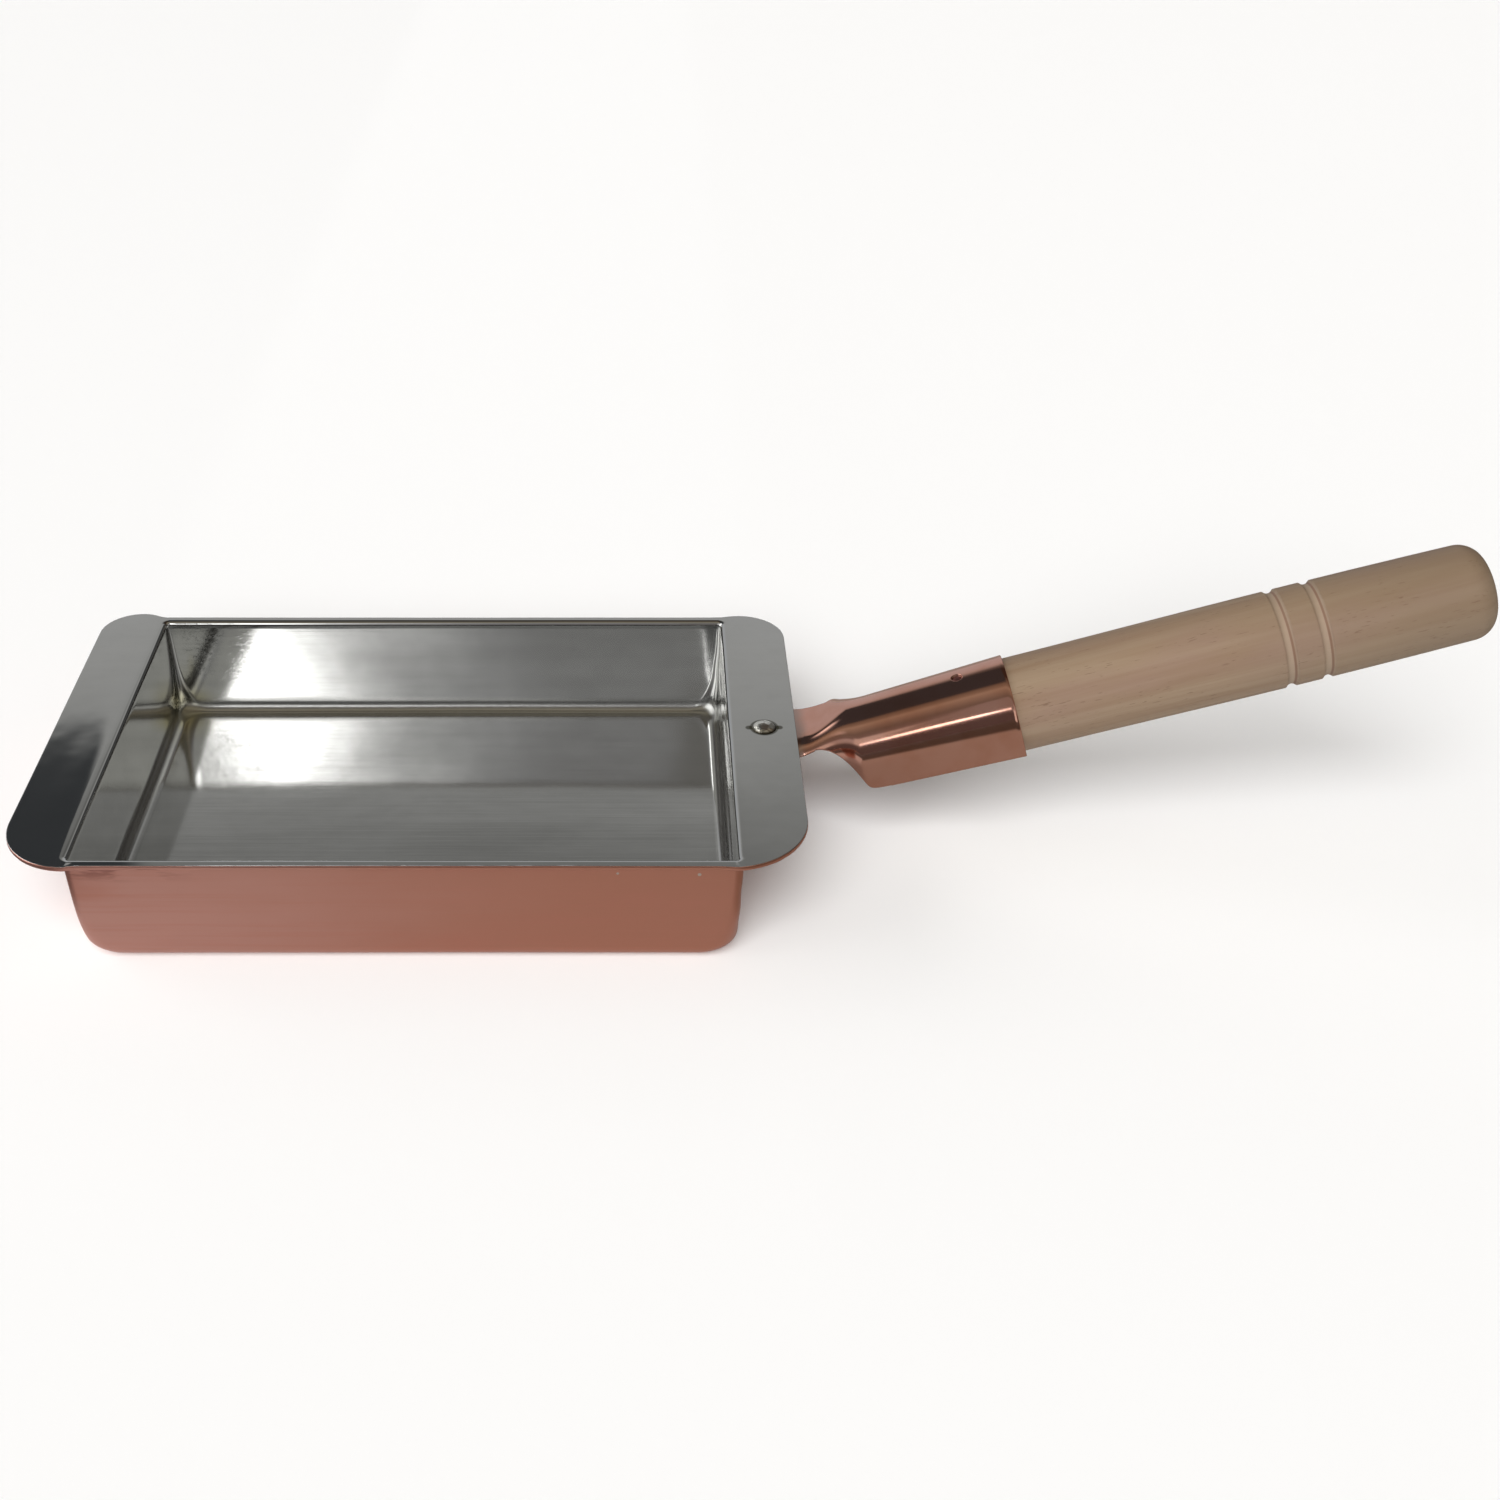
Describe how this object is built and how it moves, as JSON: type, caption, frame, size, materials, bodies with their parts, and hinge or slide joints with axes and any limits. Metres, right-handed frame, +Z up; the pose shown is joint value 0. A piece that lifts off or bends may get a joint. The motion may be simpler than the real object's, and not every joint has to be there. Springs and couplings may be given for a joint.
{
  "type": "omelette pan",
  "caption": "Shallow oblong tinned-copper pan with a wide flange at each short end, a riveted copper ferrule and a turned wooden handle.",
  "frame": {"origin": "centre of the pan's flat underside", "axes": "+X along the pan towards the handle, +Y across the pan, +Z up out of the pan"},
  "size_m": [0.3763, 0.1226, 0.0846],
  "materials": {
    "copper": "satin copper, brushed",
    "tin": "wiped bright tin",
    "ferrule_copper": "polished copper",
    "rivet_tin": "tinned rivet, bright",
    "solder": "dull tin",
    "beech": "bare sanded beech",
    "nail_copper": "darkened copper"
  },
  "bodies": {
    "root": {"pan_body": "copper", "tin_lining": "tin", "handle_ferrule": "ferrule_copper", "flange_rivet": "rivet_tin", "tongue_solder": "solder", "wooden_handle": "beech", "handle_nail": "nail_copper"}
  },
  "joints": []
}
